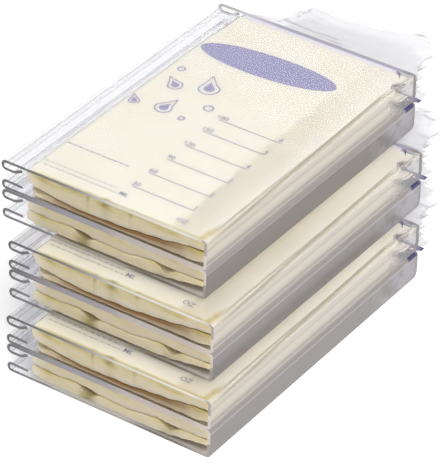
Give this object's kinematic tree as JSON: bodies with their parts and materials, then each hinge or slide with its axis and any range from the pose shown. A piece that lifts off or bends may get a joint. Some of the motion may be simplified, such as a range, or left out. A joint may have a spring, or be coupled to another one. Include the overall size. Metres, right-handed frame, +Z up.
{
  "type": "breast milk storage freezer box",
  "caption": "Staggered stack of clear sleeve cases, each holding flat filled milk storage bags that slide out by their header film.",
  "frame": {"origin": "centre of the underside of the lowest case", "axes": "+Z up, +Y from the front openings to the back where the header films stick out, +X towards the closed side walls"},
  "size_m": [0.1398, 0.248, 0.0984],
  "materials": {
    "clear_polystyrene": "clear moulded polystyrene, polished",
    "grey_polystyrene": "clear moulded polystyrene, smoke grey towards its closed side",
    "milk_pouch": "clear film over cream-coloured milk",
    "zip_strip": "extruded lavender press-to-close strip",
    "clear_film": "crumpled clear polyethylene film"
  },
  "bodies": {
    "case_1": {"case_1": "grey_polystyrene"},
    "bag_1_lower": {"pouch_1_lower": "milk_pouch", "zip_1_lower": "zip_strip", "header_1_lower": "clear_film"},
    "bag_1_upper": {"pouch_1_upper": "milk_pouch", "zip_1_upper": "zip_strip", "header_1_upper": "clear_film"},
    "case_2": {"case_2": "clear_polystyrene"},
    "bag_2_lower": {"pouch_2_lower": "milk_pouch", "zip_2_lower": "zip_strip", "header_2_lower": "clear_film"},
    "bag_2_upper": {"pouch_2_upper": "milk_pouch", "zip_2_upper": "zip_strip", "header_2_upper": "clear_film"},
    "case_3": {"case_3": "grey_polystyrene"},
    "bag_3_lower": {"pouch_3_lower": "milk_pouch", "zip_3_lower": "zip_strip", "header_3_lower": "clear_film"},
    "bag_3_upper": {"pouch_3_upper": "milk_pouch", "zip_3_upper": "zip_strip", "header_3_upper": "clear_film"},
    "case_4": {"case_4": "clear_polystyrene"},
    "bag_4_lower": {"pouch_4_lower": "milk_pouch", "zip_4_lower": "zip_strip", "header_4_lower": "clear_film"},
    "bag_4_upper": {"pouch_4_upper": "milk_pouch", "zip_4_upper": "zip_strip", "header_4_upper": "clear_film"},
    "case_5": {"case_5": "grey_polystyrene"},
    "bag_5_lower": {"pouch_5_lower": "milk_pouch", "zip_5_lower": "zip_strip", "header_5_lower": "clear_film"},
    "bag_5_upper": {"pouch_5_upper": "milk_pouch", "zip_5_upper": "zip_strip", "header_5_upper": "clear_film"},
    "case_6": {"case_6": "clear_polystyrene"},
    "bag_6_lower": {"pouch_6_lower": "milk_pouch", "zip_6_lower": "zip_strip", "header_6_lower": "clear_film"},
    "bag_6_upper": {"pouch_6_upper": "milk_pouch", "zip_6_upper": "zip_strip", "header_6_upper": "clear_film"}
  },
  "joints": [
    {"name": "slide_bag_1_lower", "type": "slide", "parent": "case_1", "child": "bag_1_lower", "axis": [0, 1, 0], "range_m": [0, 0.18]},
    {"name": "slide_bag_1_upper", "type": "slide", "parent": "case_1", "child": "bag_1_upper", "axis": [0, 1, 0], "range_m": [0, 0.18]},
    {"name": "lift_case_2", "type": "slide", "parent": "case_1", "child": "case_2", "axis": [0, 0, 1], "range_m": [0, 0.04]},
    {"name": "slide_bag_2_lower", "type": "slide", "parent": "case_2", "child": "bag_2_lower", "axis": [0, 1, 0], "range_m": [0, 0.18]},
    {"name": "slide_bag_2_upper", "type": "slide", "parent": "case_2", "child": "bag_2_upper", "axis": [0, 1, 0], "range_m": [0, 0.18]},
    {"name": "lift_case_3", "type": "slide", "parent": "case_2", "child": "case_3", "axis": [0, 0, 1], "range_m": [0, 0.04]},
    {"name": "slide_bag_3_lower", "type": "slide", "parent": "case_3", "child": "bag_3_lower", "axis": [0, 1, 0], "range_m": [0, 0.18]},
    {"name": "slide_bag_3_upper", "type": "slide", "parent": "case_3", "child": "bag_3_upper", "axis": [0, 1, 0], "range_m": [0, 0.18]},
    {"name": "lift_case_4", "type": "slide", "parent": "case_3", "child": "case_4", "axis": [0, 0, 1], "range_m": [0, 0.04]},
    {"name": "slide_bag_4_lower", "type": "slide", "parent": "case_4", "child": "bag_4_lower", "axis": [0, 1, 0], "range_m": [0, 0.18]},
    {"name": "slide_bag_4_upper", "type": "slide", "parent": "case_4", "child": "bag_4_upper", "axis": [0, 1, 0], "range_m": [0, 0.18]},
    {"name": "lift_case_5", "type": "slide", "parent": "case_4", "child": "case_5", "axis": [0, 0, 1], "range_m": [0, 0.04]},
    {"name": "slide_bag_5_lower", "type": "slide", "parent": "case_5", "child": "bag_5_lower", "axis": [0, 1, 0], "range_m": [0, 0.18]},
    {"name": "slide_bag_5_upper", "type": "slide", "parent": "case_5", "child": "bag_5_upper", "axis": [0, 1, 0], "range_m": [0, 0.18]},
    {"name": "lift_case_6", "type": "slide", "parent": "case_5", "child": "case_6", "axis": [0, 0, 1], "range_m": [0, 0.04]},
    {"name": "slide_bag_6_lower", "type": "slide", "parent": "case_6", "child": "bag_6_lower", "axis": [0, 1, 0], "range_m": [0, 0.18]},
    {"name": "slide_bag_6_upper", "type": "slide", "parent": "case_6", "child": "bag_6_upper", "axis": [0, 1, 0], "range_m": [0, 0.18]}
  ]
}
